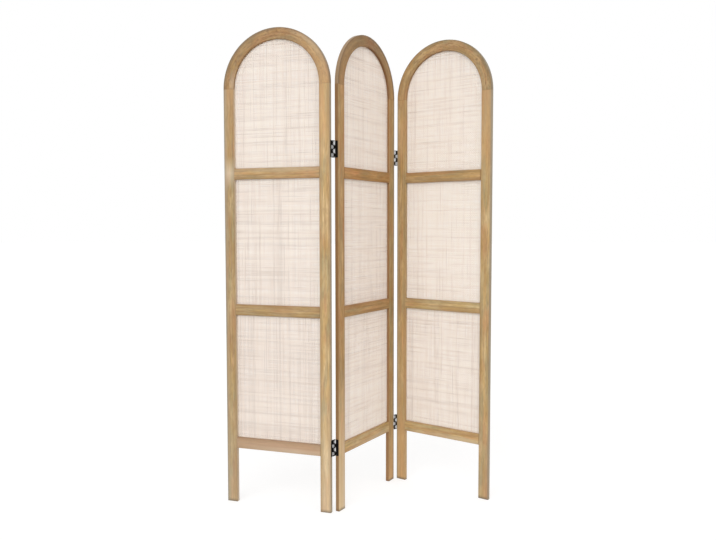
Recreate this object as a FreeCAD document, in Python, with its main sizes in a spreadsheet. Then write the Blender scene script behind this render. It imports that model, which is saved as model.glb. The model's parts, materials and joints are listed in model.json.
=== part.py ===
import FreeCAD, Part
import enum
import math
import os
import Sketcher

# Folding room divider: three arched wooden frames filled with woven webbing, joined by two-pin hinges.
# A panel is drawn in its own frame: x across it from the left edge, y from the front face to the back, z up.
# The middle panel folds towards its back on the left and towards its front on the right.

Vector = FreeCAD.Vector
Placement = FreeCAD.Placement
Rotation = FreeCAD.Rotation
ACROSS = Vector(1, 0, 0)
DEPTH = Vector(0, 1, 0)
UP = Vector(0, 0, 1)
NOWHERE = Vector(0, 0, 0)

# Driving dimensions in millimetres, and the rest angles of the fold in degrees.
DIMENSIONS = (
    ("panel_height", 1700, "floor to crown"),
    ("panel_width", 405, "one panel, edge to edge"),
    ("panel_thickness", 15, "front face to back face"),
    ("stile_width", 40, "stiles and arch across the face"),
    ("rail_width", 40, "crossrails across the face"),
    ("leg_height", 200, "floor to the lower rail"),
    ("bay_height", 448, "clear height between two rails"),
    ("edge_radius", 2, "easing of the long edges"),
    ("lip_depth", 9.6, "front lip before the webbing"),
    ("rebate_width", 8, "rebate behind the lip"),
    ("webbing_thickness", 1.2, "woven sheet"),
    ("webbing_margin", 1, "sheet edge to rebate wall"),
    ("bead_clearance", 0.2, "retaining bead to rebate wall"),
    ("tenon_length", 22, "stub tenon on a rail"),
    ("tenon_thickness", 6, "stub tenon, front to back"),
    ("tenon_shoulder", 9, "rail edge to tenon"),
    ("mortise_clearance", 0.1, "round a tenon"),
    ("dowel_radius", 3, "dowels of the arch"),
    ("dowel_length", 40, "dowels of the arch"),
    ("dowel_pitch", 16, "between the two dowels of a joint"),
    ("dowel_clearance", 0.1, "round a dowel"),
    ("lower_hinge_height", 229, "floor to the middle of a lower hinge"),
    ("upper_hinge_height", 1275, "floor to the middle of an upper hinge"),
    ("leaf_height", 58, "hinge leaf"),
    ("leaf_thickness", 1.5, "hinge leaf"),
    ("leaf_inset", 2, "leaf to the far face of the panel"),
    ("leaf_setback", 2, "leaf to the near face beside the eyes"),
    ("leaf_corner", 2, "rounding of a leaf's far corners"),
    ("row_pitch", 13.9, "between two rows of eyes"),
    ("eye_radius", 3, "outside of a rolled eye"),
    ("pin_radius", 1.25, "hinge pin"),
    ("pin_clearance", 0.08, "pin to eye and pin to link"),
    ("pin_proud", 1, "pin axis beyond the panel's face"),
    ("pin_spacing", 8, "between the two pins of a hinge"),
    ("pin_head_radius", 2.1, "riveted head"),
    ("pin_head_height", 0.8, "riveted head"),
    ("link_thickness", 2, "link plate"),
    ("link_radius", 2.5, "round ends of a link plate"),
    ("link_gap", 0.3, "link plate to eye"),
    ("screw_radius", 1.6, "shank of a hinge screw"),
    ("screw_length", 14, "hinge screw with its head"),
    ("screw_head_depth", 1.2, "countersunk head at 45 degrees"),
    ("screw_spacing", 36, "between the two screws of a leaf"),
    ("screw_clearance", 0.05, "screw to leaf and screw to wood"),
    ("middle_heading", 58.8, "middle panel turned from the row's X axis"),
    ("left_link_swing", 10, "left links folded from straight"),
    ("left_panel_swing", 66.9, "left panel folded from its links"),
    ("right_link_swing", 17, "right links folded from straight"),
    ("right_panel_swing", 78.7, "right panel folded from its links"),
)

QUARTER_TURN = 90
HALF_TURN = 180
FULL_TURN = 360
LEAVES_PER_HINGE = 2
EYES_PER_LEAF = 2
ROWS_PER_HINGE = LEAVES_PER_HINGE * EYES_PER_LEAF
LINKS_PER_HINGE = ROWS_PER_HINGE + 1
PINS_PER_HINGE = 2
SAME_LENGTH = 0.01
SIDES = ("left", "right")
LEVELS = ("lower", "upper")
PANELS = ("left", "middle", "right")


class Spot(enum.IntEnum):
    """How a sketch numbers the points of a line or an arc."""

    START = 1
    END = 2
    CENTRE = 3


# How a sketch numbers its own origin.
ROOT_POINT = (-1, Spot.START)

doc = FreeCAD.newDocument("room_divider")
sheet = doc.addObject("Spreadsheet::Sheet", "Sizes")
nodes = []


class Size:
    """A size that knows its number and the sheet formula that gives it."""

    def __init__(self, value, formula):
        self.value = float(value)
        self.formula = formula

    def __add__(self, other):
        other = as_size(other)
        return Size(self.value + other.value, f"({self.formula} + {other.formula})")

    def __sub__(self, other):
        other = as_size(other)
        return Size(self.value - other.value, f"({self.formula} - {other.formula})")

    def __mul__(self, factor):
        return Size(self.value * factor, f"({self.formula} * {factor})")

    def __truediv__(self, divisor):
        return Size(self.value / divisor, f"({self.formula} / {divisor})")

    def __neg__(self):
        return Size(-self.value, f"(-{self.formula})")


def as_size(number):
    """A plain number as a size."""
    return number if isinstance(number, Size) else Size(number, str(number))


def fill_sheet():
    """Write the driving dimensions to the sheet and hand them back by name."""
    named = {}
    for row, (alias, number, meaning) in enumerate(DIMENSIONS, start=1):
        sheet.set(f"A{row}", meaning)
        sheet.set(f"B{row}", str(number))
        sheet.setAlias(f"B{row}", alias)
        named[alias] = Size(number, f"{sheet.Name}.{alias}")
    doc.recompute()
    return named


dim = fill_sheet()
ORIGIN = as_size(0)
WIDTH = dim["panel_width"]
THICKNESS = dim["panel_thickness"]
STILE = dim["stile_width"]
LIP = dim["lip_depth"]
REBATE = dim["rebate_width"]
MID_DEPTH = THICKNESS / 2
ARCH_RADIUS = WIDTH / 2
SPRINGING = dim["panel_height"] - ARCH_RADIUS
OPENING_RADIUS = ARCH_RADIUS - STILE
DOWEL_MIDDLE = (STILE - REBATE) / 2
DOWEL_PLACES = (DOWEL_MIDDLE - dim["dowel_pitch"] / 2, DOWEL_MIDDLE + dim["dowel_pitch"] / 2)
RAIL_STEP = dim["rail_width"] + dim["bay_height"]
RAIL_BOTTOMS = {
    "lower": dim["leg_height"],
    "middle": dim["leg_height"] + RAIL_STEP,
    "upper": dim["leg_height"] + RAIL_STEP * 2,
}
RAIL_TOPS = {name: bottom + dim["rail_width"] for name, bottom in RAIL_BOTTOMS.items()}
HINGE_HEIGHTS = {"lower": dim["lower_hinge_height"], "upper": dim["upper_hinge_height"]}
SHEET_REACH = REBATE - dim["webbing_margin"]
DOWEL_HOLE = dim["dowel_radius"] + dim["dowel_clearance"]
DOWEL_HOLE_DEPTH = dim["dowel_length"] / 2 + dim["dowel_clearance"]
SCREW_HOLE = dim["screw_radius"] + dim["screw_clearance"]
SCREW_PLACES = (dim["screw_spacing"] / 2, dim["screw_spacing"] / -2)
PIN_HOLE = dim["pin_radius"] + dim["pin_clearance"]
PIN_OFFSET = dim["eye_radius"]
EYE_HEIGHT = dim["row_pitch"] - dim["link_thickness"] - dim["link_gap"] * 2
LOWEST_ROW = dim["row_pitch"] * (ROWS_PER_HINGE - 1) / 2
OUTER_LINK = (dim["row_pitch"] * ROWS_PER_HINGE + dim["link_thickness"]) / 2


# Drawing helpers

def set_size(thing, name, size):
    """Tie a property to the sheet."""
    thing.setExpression(name, as_size(size).formula)


def new_body(label):
    """An empty body for one piece."""
    body = doc.addObject("PartDesign::Body", label)
    body.Label = label
    return body


def origin_feature(body, role):
    """A plane or axis of the body's own origin."""
    return next(feature for feature in body.Origin.OriginFeatures if feature.Role == role)


def new_sketch(body, name, role, offset=ORIGIN):
    """A sketch on an origin plane, moved along the plane's normal."""
    sketch = body.newObject("Sketcher::SketchObject", name)
    sketch.AttachmentSupport = (origin_feature(body, role), [""])
    sketch.MapMode = "FlatFace"
    set_size(sketch, "AttachmentOffset.Base.z", offset)
    return sketch


def fix_point(sketch, geometry, vertex, x, y):
    """Hold a point at a place measured from the sketch's origin."""
    for kind, size in (("DistanceX", x), ("DistanceY", y)):
        size = as_size(size)
        index = sketch.addConstraint(Sketcher.Constraint(kind, *ROOT_POINT, geometry, vertex, size.value))
        sketch.setExpression(f"Constraints[{index}]", size.formula)


def fix_radius(sketch, geometry, radius):
    """Hold the radius of a circle or an arc."""
    index = sketch.addConstraint(Sketcher.Constraint("Radius", geometry, radius.value))
    sketch.setExpression(f"Constraints[{index}]", radius.formula)


def draw_outline(sketch, points):
    """A closed outline of straight lines through points given as sizes."""
    corners = [Vector(as_size(x).value, as_size(y).value, 0) for x, y in points]
    count = len(corners)
    lines = []
    for index in range(count):
        line = Part.LineSegment(corners[index], corners[(index + 1) % count])
        lines.append(sketch.addGeometry(line))
    join_ends(sketch, lines, "Coincident")
    for line, (x, y) in zip(lines, points):
        fix_point(sketch, line, Spot.START, x, y)


def join_ends(sketch, chain, kind):
    """Join each line or arc of a closed chain to the next, end to start."""
    for index, piece in enumerate(chain):
        following = chain[(index + 1) % len(chain)]
        sketch.addConstraint(Sketcher.Constraint(kind, piece, Spot.END, following, Spot.START))


def draw_rectangle(sketch, x_low, x_high, y_low, y_high):
    """A rectangle between two pairs of sizes."""
    draw_outline(sketch, [(x_low, y_low), (x_high, y_low), (x_high, y_high), (x_low, y_high)])


def draw_circle(sketch, x, y, radius):
    """A circle about a fixed centre."""
    centre = Vector(as_size(x).value, as_size(y).value, 0)
    circle = sketch.addGeometry(Part.Circle(centre, UP, radius.value))
    fix_point(sketch, circle, Spot.CENTRE, x, y)
    fix_radius(sketch, circle, radius)


def pad(body, sketch, length, backwards=False):
    """Material added along the sketch's normal."""
    feature = body.newObject("PartDesign::Pad", "pad")
    feature.Profile = sketch
    feature.Reversed = backwards
    set_size(feature, "Length", length)
    doc.recompute()
    return feature


def pocket(body, sketch, depth=None, forwards=False):
    """Material cut against the sketch's normal, or along it, to a depth or right through."""
    before = body.Shape.Volume
    feature = body.newObject("PartDesign::Pocket", "pocket")
    feature.Profile = sketch
    feature.Reversed = forwards
    if depth is None:
        feature.Type = "ThroughAll"
    else:
        set_size(feature, "Length", depth)
    doc.recompute()
    if body.Shape.Volume >= before:
        raise RuntimeError(f"{body.Label}: {sketch.Label} cuts nothing")
    return feature


def revolve(body, sketch, angle, backwards=False):
    """Material turned about the sketch's vertical axis."""
    feature = body.newObject("PartDesign::Revolution", "revolution")
    feature.Profile = sketch
    feature.ReferenceAxis = (sketch, ["V_Axis"])
    feature.Angle = angle
    feature.Reversed = backwards
    doc.recompute()
    return feature


def repeat(body, feature, role, length, count):
    """Even copies of a feature along an axis of the body."""
    pattern = body.newObject("PartDesign::LinearPattern", "pattern")
    pattern.Originals = [feature]
    pattern.Direction = (origin_feature(body, role), [""])
    set_size(pattern, "Length", length)
    pattern.Occurrences = count
    body.Tip = pattern
    doc.recompute()
    return pattern


def named_edges(feature, wanted):
    """Names of the edges that a test picks out."""
    return [f"Edge{index}" for index, edge in enumerate(feature.Shape.Edges, start=1) if wanted(edge)]


def round_edges(body, feature, wanted, radius):
    """Ease the picked edges."""
    fillet = body.newObject("PartDesign::Fillet", "easing")
    fillet.Base = (feature, named_edges(feature, wanted))
    set_size(fillet, "Radius", radius)
    doc.recompute()
    return fillet


def near(first, second):
    """Whether two lengths are the same but for rounding."""
    return abs(first - second) < SAME_LENGTH


def runs_along(edge, direction):
    """Whether an edge is a straight one along a direction."""
    return isinstance(edge.Curve, Part.Line) and near(abs(edge.Curve.Direction.dot(direction)), 1)


def new_box(x_low, x_high, y_low, y_high, z_low, z_high):
    """A box between three pairs of sizes."""
    box = doc.addObject("Part::Box", "strip")
    for side, low, high in (("Length", x_low, x_high), ("Width", y_low, y_high), ("Height", z_low, z_high)):
        set_size(box, side, high - low)
    for axis, low in (("x", x_low), ("y", y_low), ("z", z_low)):
        set_size(box, f"Placement.Base.{axis}", low)
    return box


def new_cylinder(radius, height, placement):
    """A cylinder placed by its base."""
    cylinder = doc.addObject("Part::Cylinder", "round_bar")
    set_size(cylinder, "Radius", radius)
    set_size(cylinder, "Height", height)
    cylinder.Placement = placement
    return cylinder


def place(x, y, z, rotation=None):
    """A placement at three sizes."""
    spot = Vector(as_size(x).value, as_size(y).value, as_size(z).value)
    return Placement(spot, rotation or Rotation())


def keep(node, placement):
    """Set a finished piece in its place."""
    node.Placement = placement.multiply(node.Placement)
    nodes.append(node)


def keep_group(label, pieces, placement):
    """Set loose pieces of one kind in their place, as one node of separate solids."""
    group = doc.addObject("Part::Compound", label)
    group.Label = label
    group.Links = pieces
    doc.recompute()
    keep(group, placement)


# Panel pieces

def across_panel(side, distance):
    """A distance from the panel's left or right edge, as an x in the panel's frame."""
    return distance if side == "left" else WIDTH - distance


def make_stile(label, side, hinged, panel):
    """A straight upright with rebates, mortises, dowel holes and, on a hinged edge, screw holes."""
    body = new_body(label)
    edge = across_panel(side, ORIGIN)
    inner = across_panel(side, STILE)
    section = new_sketch(body, "section", "XY_Plane")
    draw_rectangle(section, edge, inner, ORIGIN, THICKNESS)
    upright = pad(body, section, SPRINGING)
    round_edges(body, upright, lambda line: runs_along(line, UP), dim["edge_radius"])

    rebates = new_sketch(body, "rebates", "XZ_Plane", -LIP)
    wall = across_panel(side, STILE - REBATE)
    for low, high in (("lower", "middle"), ("middle", "upper")):
        draw_rectangle(rebates, wall, inner, RAIL_TOPS[low] - REBATE, RAIL_BOTTOMS[high] + REBATE)
    draw_rectangle(rebates, wall, inner, RAIL_TOPS["upper"] - REBATE, SPRINGING)
    pocket(body, rebates)

    mortises = new_sketch(body, "mortises", "YZ_Plane", inner)
    half = dim["tenon_thickness"] / 2 + dim["mortise_clearance"]
    inset = dim["tenon_shoulder"] - dim["mortise_clearance"]
    for name, bottom in RAIL_BOTTOMS.items():
        draw_rectangle(mortises, MID_DEPTH - half, MID_DEPTH + half, bottom + inset, RAIL_TOPS[name] - inset)
    pocket(body, mortises, dim["tenon_length"] + dim["mortise_clearance"], forwards=side == "right")

    dowel_holes = new_sketch(body, "dowel_holes", "XY_Plane", SPRINGING)
    for distance in DOWEL_PLACES:
        draw_circle(dowel_holes, across_panel(side, distance), MID_DEPTH, DOWEL_HOLE)
    pocket(body, dowel_holes, DOWEL_HOLE_DEPTH)

    if hinged:
        screw_holes = new_sketch(body, "screw_holes", "YZ_Plane", edge)
        for height in HINGE_HEIGHTS.values():
            for from_middle in SCREW_PLACES:
                draw_circle(screw_holes, MID_DEPTH, height + from_middle, SCREW_HOLE)
        hole_depth = dim["screw_length"] - dim["leaf_thickness"] + dim["screw_clearance"]
        pocket(body, screw_holes, hole_depth, forwards=side == "left")
    keep(body, panel)


def make_arch(label, side, panel):
    """A quarter arch, drawn about the arch's centre, with its rebate and dowel holes."""
    body = new_body(label)
    outward = -1 if side == "left" else 1
    section = new_sketch(body, "section", "XY_Plane")
    outer = ARCH_RADIUS * outward
    wall = (OPENING_RADIUS + REBATE) * outward
    inner = OPENING_RADIUS * outward
    draw_outline(section, [(outer, ORIGIN), (inner, ORIGIN), (inner, LIP), (wall, LIP), (wall, THICKNESS),
                           (outer, THICKNESS)])
    curve = revolve(body, section, QUARTER_TURN, backwards=side == "right")

    def is_shown(edge):
        if not isinstance(edge.Curve, Part.Circle):
            return False
        on_front = near(edge.Curve.Center.y, 0)
        on_rim = near(edge.Curve.Radius, ARCH_RADIUS.value)
        return on_rim or (on_front and near(edge.Curve.Radius, OPENING_RADIUS.value))

    round_edges(body, curve, is_shown, dim["edge_radius"])
    foot_holes = new_sketch(body, "foot_dowel_holes", "XY_Plane")
    crown_holes = new_sketch(body, "crown_dowel_holes", "YZ_Plane")
    for distance in DOWEL_PLACES:
        draw_circle(foot_holes, (ARCH_RADIUS - distance) * outward, MID_DEPTH, DOWEL_HOLE)
        draw_circle(crown_holes, MID_DEPTH, ARCH_RADIUS - distance, DOWEL_HOLE)
    pocket(body, foot_holes, DOWEL_HOLE_DEPTH, forwards=True)
    pocket(body, crown_holes, DOWEL_HOLE_DEPTH, forwards=side == "right")
    keep(body, panel.multiply(place(ARCH_RADIUS, ORIGIN, SPRINGING)))


def make_rail(label, name, panel):
    """A crossrail with rebates behind its webbed edges and a stub tenon at each end."""
    body = new_body(label)
    bottom = RAIL_BOTTOMS[name]
    top = RAIL_TOPS[name]
    section = new_sketch(body, "section", "YZ_Plane", STILE)
    outline = [(THICKNESS, top - REBATE), (LIP, top - REBATE), (LIP, top), (ORIGIN, top), (ORIGIN, bottom)]
    if name == "lower":
        outline.append((THICKNESS, bottom))
    else:
        outline += [(LIP, bottom), (LIP, bottom + REBATE), (THICKNESS, bottom + REBATE)]
    draw_outline(section, outline)
    bar = pad(body, section, WIDTH - STILE * 2)

    def is_shown(edge):
        if not runs_along(edge, ACROSS):
            return False
        spot = edge.Vertexes[0].Point
        under_back = name == "lower" and near(spot.y, THICKNESS.value) and near(spot.z, bottom.value)
        return near(spot.y, 0) or under_back

    round_edges(body, bar, is_shown, dim["edge_radius"])
    tenons = new_sketch(body, "tenons", "YZ_Plane", STILE - dim["tenon_length"])
    half = dim["tenon_thickness"] / 2
    shoulder = dim["tenon_shoulder"]
    draw_rectangle(tenons, MID_DEPTH - half, MID_DEPTH + half, bottom + shoulder, top - shoulder)
    pad(body, tenons, WIDTH - STILE * 2 + dim["tenon_length"] * 2)
    keep(body, panel)


def make_webbing(label, low, high, panel):
    """A rectangular sheet of woven webbing between two rails."""
    body = new_body(label)
    left, right = STILE - SHEET_REACH, WIDTH - STILE + SHEET_REACH
    bottom, top = RAIL_TOPS[low] - SHEET_REACH, RAIL_BOTTOMS[high] + SHEET_REACH
    outline = new_sketch(body, "outline", "XZ_Plane", -LIP)
    draw_rectangle(outline, left, right, bottom, top)
    pad(body, outline, dim["webbing_thickness"], backwards=True)
    keep(body, panel)


def make_arched_webbing(label, panel):
    """The top sheet of woven webbing, which ends in a half circle under the arch."""
    body = new_body(label)
    radius = OPENING_RADIUS + SHEET_REACH
    left, right = ARCH_RADIUS - radius, ARCH_RADIUS + radius
    bottom = RAIL_TOPS["upper"] - SHEET_REACH
    outline = new_sketch(body, "outline", "XZ_Plane", -LIP)
    centre = Vector(ARCH_RADIUS.value, SPRINGING.value, 0)
    corners = [Vector(left.value, SPRINGING.value, 0), Vector(left.value, bottom.value, 0),
               Vector(right.value, bottom.value, 0), Vector(right.value, SPRINGING.value, 0)]
    lines = [outline.addGeometry(Part.LineSegment(start, end)) for start, end in zip(corners, corners[1:])]
    arc = outline.addGeometry(Part.ArcOfCircle(Part.Circle(centre, UP, radius.value), 0, math.pi))
    join_ends(outline, lines + [arc], "Coincident")
    fix_point(outline, lines[0], Spot.START, left, SPRINGING)
    fix_point(outline, lines[1], Spot.START, left, bottom)
    fix_point(outline, lines[2], Spot.START, right, bottom)
    fix_point(outline, arc, Spot.START, right, SPRINGING)
    level = Sketcher.Constraint("DistanceY", *ROOT_POINT, arc, Spot.CENTRE, SPRINGING.value)
    index = outline.addConstraint(level)
    outline.setExpression(f"Constraints[{index}]", SPRINGING.formula)
    pad(body, outline, dim["webbing_thickness"], backwards=True)
    keep(body, panel)


def make_beads(label, panel):
    """The strips in the rebates behind the webbing: four to a bay, the topmost one bent round the arch."""
    front = LIP + dim["webbing_thickness"]
    reach = REBATE - dim["bead_clearance"]
    gap = dim["bead_clearance"]
    right = WIDTH - STILE
    pieces = []
    for low, high in (("lower", "middle"), ("middle", "upper"), ("upper", None)):
        bottom = RAIL_TOPS[low]
        top = RAIL_BOTTOMS[high] + reach if high else SPRINGING
        pieces.append(new_box(STILE - reach, STILE, front, THICKNESS, bottom - reach, top))
        pieces.append(new_box(right, right + reach, front, THICKNESS, bottom - reach, top))
        pieces.append(new_box(STILE + gap, right - gap, front, THICKNESS, bottom - reach, bottom))
        if high:
            pieces.append(new_box(STILE + gap, right - gap, front, THICKNESS, RAIL_BOTTOMS[high], top))
    spot = place(ARCH_RADIUS, THICKNESS, SPRINGING, Rotation(ACROSS, QUARTER_TURN))
    disc = new_cylinder(OPENING_RADIUS + reach, THICKNESS - front, spot)
    core = new_cylinder(OPENING_RADIUS, THICKNESS - front, spot)
    for half_round in (disc, core):
        half_round.Angle = HALF_TURN
    bent = doc.addObject("Part::Cut", "bent_strip")
    bent.Base = disc
    bent.Tool = core
    pieces.append(bent)
    keep_group(label, pieces, panel)


def make_dowels(label, panel):
    """Upright dowels at the two springing joints and level ones at the crown."""
    half = dim["dowel_length"] / 2
    pieces = []
    for distance in DOWEL_PLACES:
        for side in SIDES:
            spot = place(across_panel(side, distance), MID_DEPTH, SPRINGING - half)
            pieces.append(new_cylinder(dim["dowel_radius"], dim["dowel_length"], spot))
        level = Rotation(DEPTH, QUARTER_TURN)
        spot = place(ARCH_RADIUS - half, MID_DEPTH, dim["panel_height"] - distance, level)
        pieces.append(new_cylinder(dim["dowel_radius"], dim["dowel_length"], spot))
    keep_group(label, pieces, panel)


# Hinge pieces
# A leaf is drawn with x out of the stile's edge and y from the face that folds shut; z is 0 at its middle.

def leaf_place(panel_name, side, level):
    """Where a leaf sits in its panel's frame: a side panel's leaf is a middle panel's leaf turned over."""
    folds_back = (panel_name, side) in (("left", "right"), ("middle", "left"))
    turn = Rotation()
    if panel_name == "left":
        turn = Rotation(ACROSS, HALF_TURN)
    elif panel_name == "right":
        turn = Rotation(DEPTH, HALF_TURN)
    elif side == "left":
        turn = Rotation(UP, HALF_TURN)
    return place(across_panel(side, ORIGIN), THICKNESS if folds_back else ORIGIN, HINGE_HEIGHTS[level], turn)


def make_leaf(label, placement):
    """A plate on the stile's edge with two rolled eyes and two countersunk holes."""
    body = new_body(label)
    metal = dim["leaf_thickness"]
    far = THICKNESS - dim["leaf_inset"]
    half_height = dim["leaf_height"] / 2
    flat = new_sketch(body, "flat", "XY_Plane", -half_height)
    draw_rectangle(flat, ORIGIN, metal, dim["leaf_setback"], far)
    plate = pad(body, flat, dim["leaf_height"])

    def is_far_corner(edge):
        return runs_along(edge, ACROSS) and near(edge.Vertexes[0].Point.y, far.value)

    round_edges(body, plate, is_far_corner, dim["leaf_corner"])
    eye = new_sketch(body, "rolled_eye", "XY_Plane", EYE_HEIGHT / -2 - LOWEST_ROW)
    draw_rolled_eye(eye, far)
    rolled = pad(body, eye, EYE_HEIGHT)
    next_own_row = dim["row_pitch"] * LEAVES_PER_HINGE
    repeat(body, rolled, "Z_Axis", next_own_row * (EYES_PER_LEAF - 1), EYES_PER_LEAF)
    holes = new_sketch(body, "screw_holes", "YZ_Plane", metal)
    for from_middle in SCREW_PLACES:
        draw_circle(holes, MID_DEPTH, from_middle, SCREW_HOLE)
    drilled = pocket(body, holes)

    def is_hole_mouth(edge):
        round_edge = isinstance(edge.Curve, Part.Circle) and near(edge.Curve.Radius, SCREW_HOLE.value)
        return round_edge and near(edge.Curve.Center.x, metal.value) and near(abs(edge.Curve.Axis.x), 1)

    countersink = body.newObject("PartDesign::Chamfer", "countersink")
    countersink.Base = (drilled, named_edges(drilled, is_hole_mouth))
    set_size(countersink, "Size", dim["screw_head_depth"])
    doc.recompute()
    keep(body, placement)


def draw_rolled_eye(sketch, far):
    """The leaf's section where its end is rolled round the pin."""
    radius = dim["eye_radius"]
    metal = dim["leaf_thickness"]
    axis_depth = -dim["pin_proud"]
    rise = math.sqrt(radius.value ** 2 - (radius.value - metal.value) ** 2)
    mouth = Vector(metal.value, axis_depth.value + rise, 0)
    start = Vector(0, axis_depth.value, 0)
    centre = Vector(PIN_OFFSET.value, axis_depth.value, 0)
    back = Vector(0, far.value, 0)
    front = Vector(metal.value, far.value, 0)
    circle = Part.Circle(centre, UP, radius.value)
    mouth_angle = math.atan2(mouth.y - centre.y, mouth.x - centre.x)
    roll = sketch.addGeometry(Part.ArcOfCircle(circle, -math.pi, mouth_angle))
    outside = sketch.addGeometry(Part.LineSegment(mouth, front))
    end = sketch.addGeometry(Part.LineSegment(front, back))
    inside = sketch.addGeometry(Part.LineSegment(back, start))
    join_ends(sketch, (roll, outside, end, inside), "Coincident")
    fix_point(sketch, roll, Spot.CENTRE, PIN_OFFSET, axis_depth)
    fix_radius(sketch, roll, radius)
    fix_point(sketch, end, Spot.START, metal, far)
    fix_point(sketch, inside, Spot.START, ORIGIN, far)
    sketch.addConstraint(Sketcher.Constraint("Vertical", outside))
    sketch.addConstraint(Sketcher.Constraint("Horizontal", roll, Spot.START, roll, Spot.CENTRE))
    draw_circle(sketch, PIN_OFFSET, axis_depth, PIN_HOLE)


def make_links(label, placement):
    """Flat link plates between and outside the rows of eyes, from one pin to the other."""
    body = new_body(label)
    radius = dim["link_radius"]
    spacing = dim["pin_spacing"]
    outline = new_sketch(body, "outline", "XY_Plane", -OUTER_LINK)
    first, second = NOWHERE, Vector(spacing.value, 0, 0)
    shift = Vector(0, radius.value, 0)
    first_round = Part.Circle(first, UP, radius.value)
    second_round = Part.Circle(second, UP, radius.value)
    near_end = outline.addGeometry(Part.ArcOfCircle(first_round, math.pi / 2, -math.pi / 2))
    low_edge = outline.addGeometry(Part.LineSegment(first - shift, second - shift))
    far_end = outline.addGeometry(Part.ArcOfCircle(second_round, -math.pi / 2, math.pi / 2))
    high_edge = outline.addGeometry(Part.LineSegment(second + shift, first + shift))
    join_ends(outline, (near_end, low_edge, far_end, high_edge), "Tangent")
    fix_point(outline, near_end, Spot.CENTRE, ORIGIN, ORIGIN)
    fix_point(outline, far_end, Spot.CENTRE, spacing, ORIGIN)
    fix_radius(outline, near_end, radius)
    draw_circle(outline, ORIGIN, ORIGIN, PIN_HOLE)
    draw_circle(outline, spacing, ORIGIN, PIN_HOLE)
    plate = pad(body, outline, dim["link_thickness"])
    repeat(body, plate, "Z_Axis", dim["row_pitch"] * (LINKS_PER_HINGE - 1), LINKS_PER_HINGE)
    keep(body, placement)


def make_pins(label, placement):
    """The two pins of a hinge, riveted over the outer link plates."""
    body = new_body(label)
    shank, head = dim["pin_radius"], dim["pin_head_radius"]
    seat = OUTER_LINK
    tip = seat + dim["pin_head_height"]
    section = new_sketch(body, "section", "XZ_Plane")
    draw_outline(section, [(ORIGIN, -tip), (head, -tip), (head, -seat), (shank, -seat),
                           (shank, seat), (head, seat), (head, tip), (ORIGIN, tip)])
    pin = revolve(body, section, FULL_TURN)
    repeat(body, pin, "X_Axis", dim["pin_spacing"], PINS_PER_HINGE)
    keep(body, placement)


def make_screws(label, leaf_places, panel):
    """The countersunk screws of a panel's hinge leaves."""
    inward = Rotation(DEPTH, -QUARTER_TURN)
    metal, depth = dim["leaf_thickness"], dim["screw_head_depth"]
    shank_length = dim["screw_length"] - depth
    pieces = []
    for leaf in leaf_places:
        for from_middle in SCREW_PLACES:
            spot = leaf.multiply(place(metal, MID_DEPTH, from_middle, inward))
            head = doc.addObject("Part::Cone", "screw_head")
            set_size(head, "Radius1", dim["screw_radius"] + depth)
            set_size(head, "Radius2", dim["screw_radius"])
            set_size(head, "Height", depth)
            head.Placement = spot
            under_head = spot.multiply(place(ORIGIN, ORIGIN, depth))
            shank = new_cylinder(dim["screw_radius"], shank_length, under_head)
            screw = doc.addObject("Part::Fuse", "screw")
            screw.Base = head
            screw.Tool = shank
            pieces.append(screw)
    keep_group(label, pieces, panel)


# The fold

def turned(degrees):
    """A turn about the upright axis."""
    return Rotation(UP, degrees)


def fold_screen():
    """Places of the panels and links at rest, with the row's origin under the middle of the whole screen."""
    swing = {alias: dim[alias].value for alias, _, _ in DIMENSIONS if alias.endswith("_swing")}
    middle = Placement(NOWHERE, turned(dim["middle_heading"].value))
    panels = {"middle": middle}
    links = {}
    before, beyond = -PIN_OFFSET, WIDTH + PIN_OFFSET
    behind, ahead = THICKNESS + dim["pin_proud"], -dim["pin_proud"]
    own_pins = {"left": (before, behind), "right": (beyond, ahead)}
    side_pins = {"left": (beyond, behind), "right": (before, ahead)}
    straight = {"left": HALF_TURN, "right": 0}
    for side in SIDES:
        link_swing, panel_swing = swing[f"{side}_link_swing"], swing[f"{side}_panel_swing"]
        link_turn = turned(straight[side] - link_swing)
        links[side] = middle.multiply(place(*own_pins[side], ORIGIN, link_turn))
        side_pin = links[side].multVec(ACROSS * dim["pin_spacing"].value)
        heading = turned(-link_swing - panel_swing).multiply(middle.Rotation)
        offset = heading.multVec(place(*side_pins[side], ORIGIN).Base)
        panels[side] = Placement(side_pin - offset, heading)
    shift = Placement(-middle_of(panels.values()), Rotation())
    return ({name: shift.multiply(spot) for name, spot in panels.items()},
            {side: shift.multiply(spot) for side, spot in links.items()})


def middle_of(placements):
    """The middle of the floor area that the rounded panels reach."""
    ease = dim["edge_radius"].value
    xs, ys = [], []
    for placement in placements:
        for x in (ease, WIDTH.value - ease):
            for y in (ease, THICKNESS.value - ease):
                corner = placement.multVec(Vector(x, y, 0))
                xs.append(corner.x)
                ys.append(corner.y)
    return Vector((min(xs) + max(xs)) / 2, (min(ys) + max(ys)) / 2, 0)


def make_panel(name, panel):
    """One panel with everything that is fixed to it, apart from its hinge leaves."""
    hinged_sides = {"left": ("right",), "middle": SIDES, "right": ("left",)}[name]
    for side in SIDES:
        make_stile(f"{name}_panel_{side}_stile", side, side in hinged_sides, panel)
        make_arch(f"{name}_panel_{side}_arch", side, panel)
    for rail in RAIL_BOTTOMS:
        make_rail(f"{name}_panel_{rail}_rail", rail, panel)
    make_webbing(f"{name}_panel_bottom_webbing", "lower", "middle", panel)
    make_webbing(f"{name}_panel_middle_webbing", "middle", "upper", panel)
    make_arched_webbing(f"{name}_panel_top_webbing", panel)
    make_beads(f"{name}_panel_retaining_beads", panel)
    make_dowels(f"{name}_panel_dowels", panel)
    leaves = [leaf_place(name, side, level) for side in hinged_sides for level in LEVELS]
    make_screws(f"{name}_panel_hinge_screws", leaves, panel)


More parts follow.
